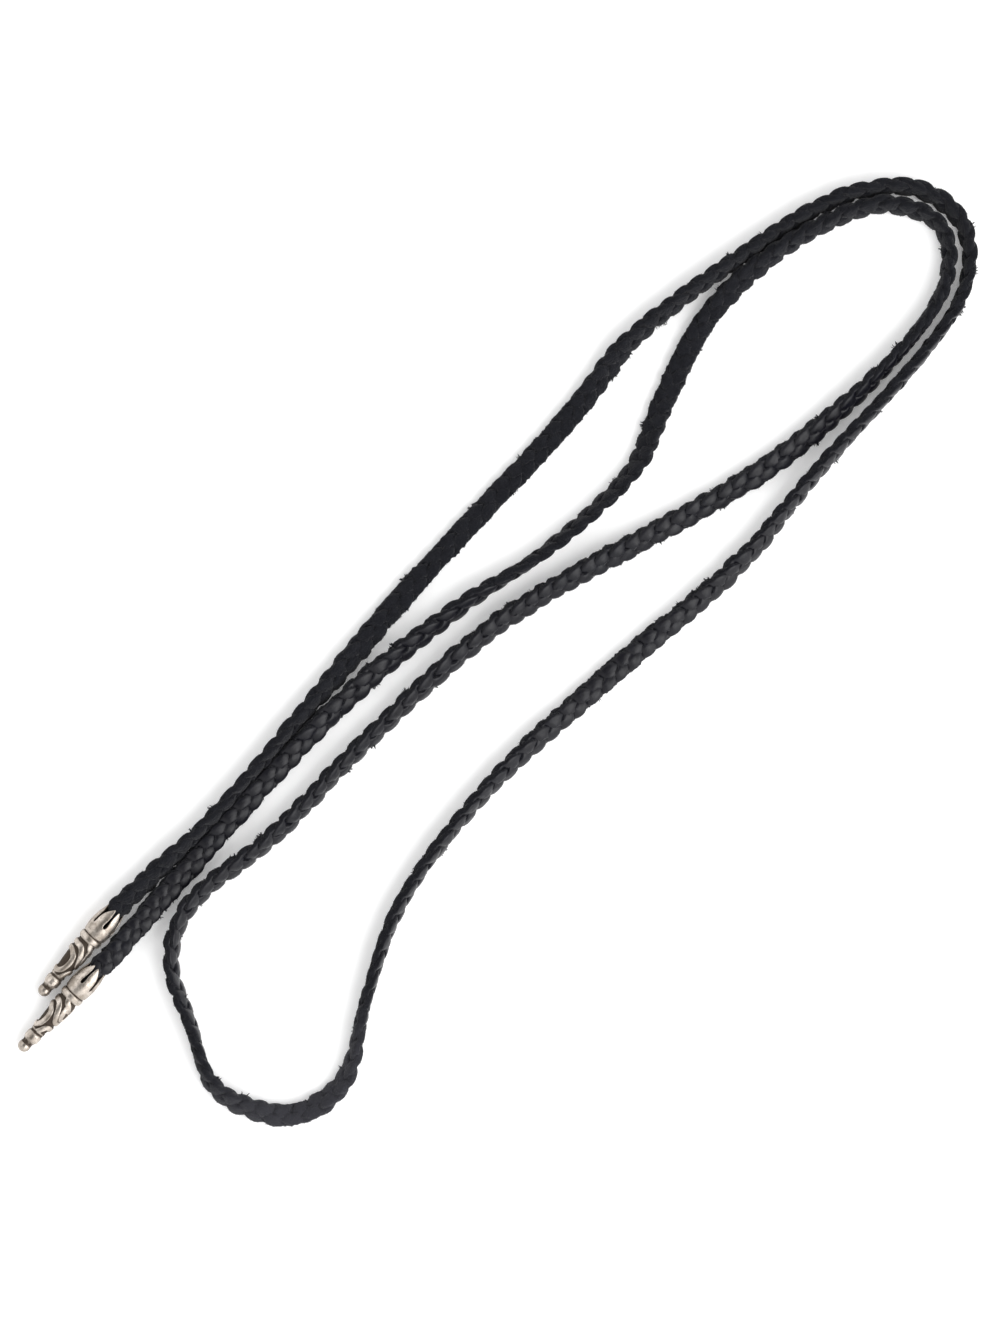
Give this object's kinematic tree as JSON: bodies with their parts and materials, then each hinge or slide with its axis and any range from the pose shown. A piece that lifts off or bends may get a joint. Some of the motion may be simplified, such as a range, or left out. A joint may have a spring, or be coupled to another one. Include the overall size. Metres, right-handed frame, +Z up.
{
  "type": "braided leather necklace",
  "caption": "Long open necklace lace of flat braided black leather, laid in four close runs, with a tapered silver tip on each end.",
  "frame": {"origin": "centre of the necklace's outline on the surface it lies on", "axes": "+X along the long runs, away from the silver tips; +Z up from the surface"},
  "size_m": [0.2522, 0.0813, 0.0054],
  "materials": {
    "black_leather": "black braided leather, smooth grain on one face and matt suede on the other",
    "oxidised_silver": "polished cast silver with dark oxidised recesses"
  },
  "bodies": {
    "root": {"braided_cord": "black_leather", "silver_tip_upper": "oxidised_silver", "silver_tip_lower": "oxidised_silver"}
  },
  "joints": []
}
